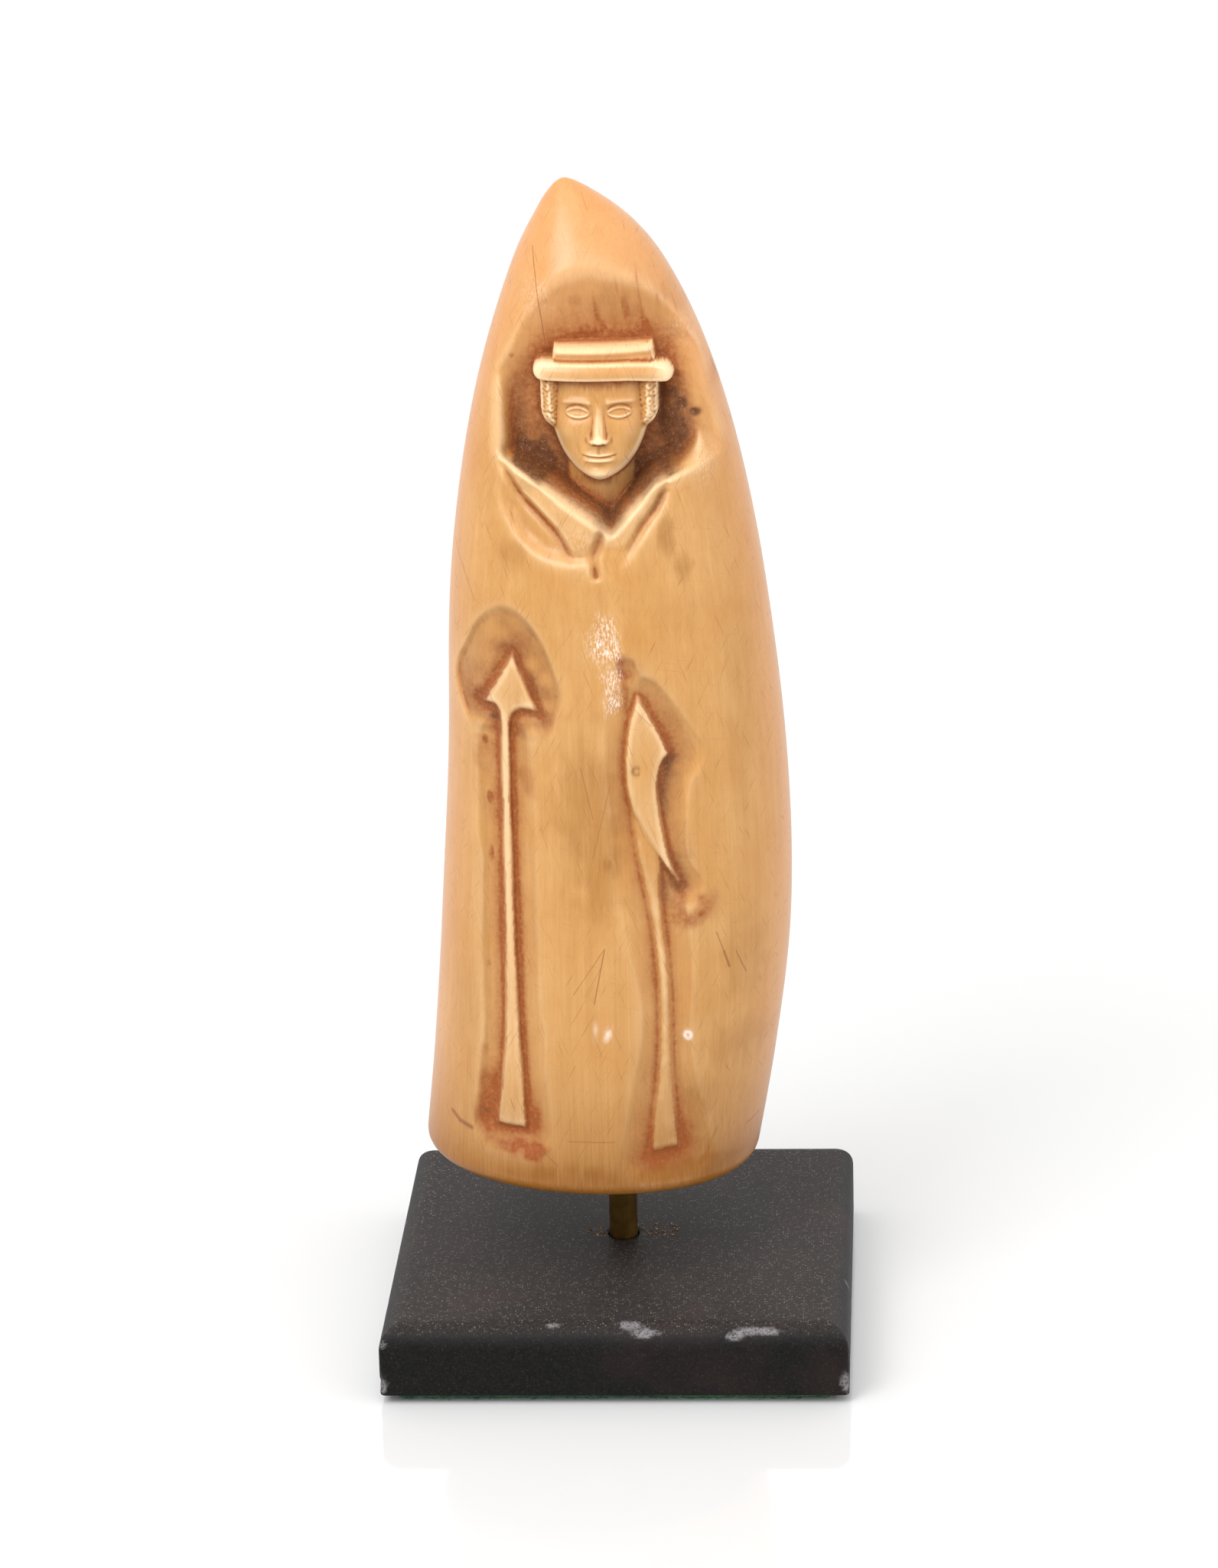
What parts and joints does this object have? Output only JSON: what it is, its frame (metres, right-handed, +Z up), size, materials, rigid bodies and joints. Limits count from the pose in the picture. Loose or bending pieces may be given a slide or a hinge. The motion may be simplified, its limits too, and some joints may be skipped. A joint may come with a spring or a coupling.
{
  "type": "scrimshaw whale tooth",
  "caption": "Upright carved whale tooth with a hatted head in a niche, lapels and whaling tools in relief, held by a thin rod over a square stone plinth with a felt pad.",
  "frame": {"origin": "centre of the underside of the felt pad, midway across the plinth", "axes": "+Z up along the rod, +X to the right of the carved front, the carved front faces -Y"},
  "size_m": [0.0762, 0.0762, 0.1942],
  "materials": {
    "tooth_ivory": "satin",
    "aged_brass": "aged",
    "black_stone": "honed",
    "green_felt": "matte"
  },
  "bodies": {
    "root": {"tooth": "tooth_ivory", "rod": "aged_brass", "plinth": "black_stone", "felt_pad": "green_felt"}
  },
  "joints": []
}
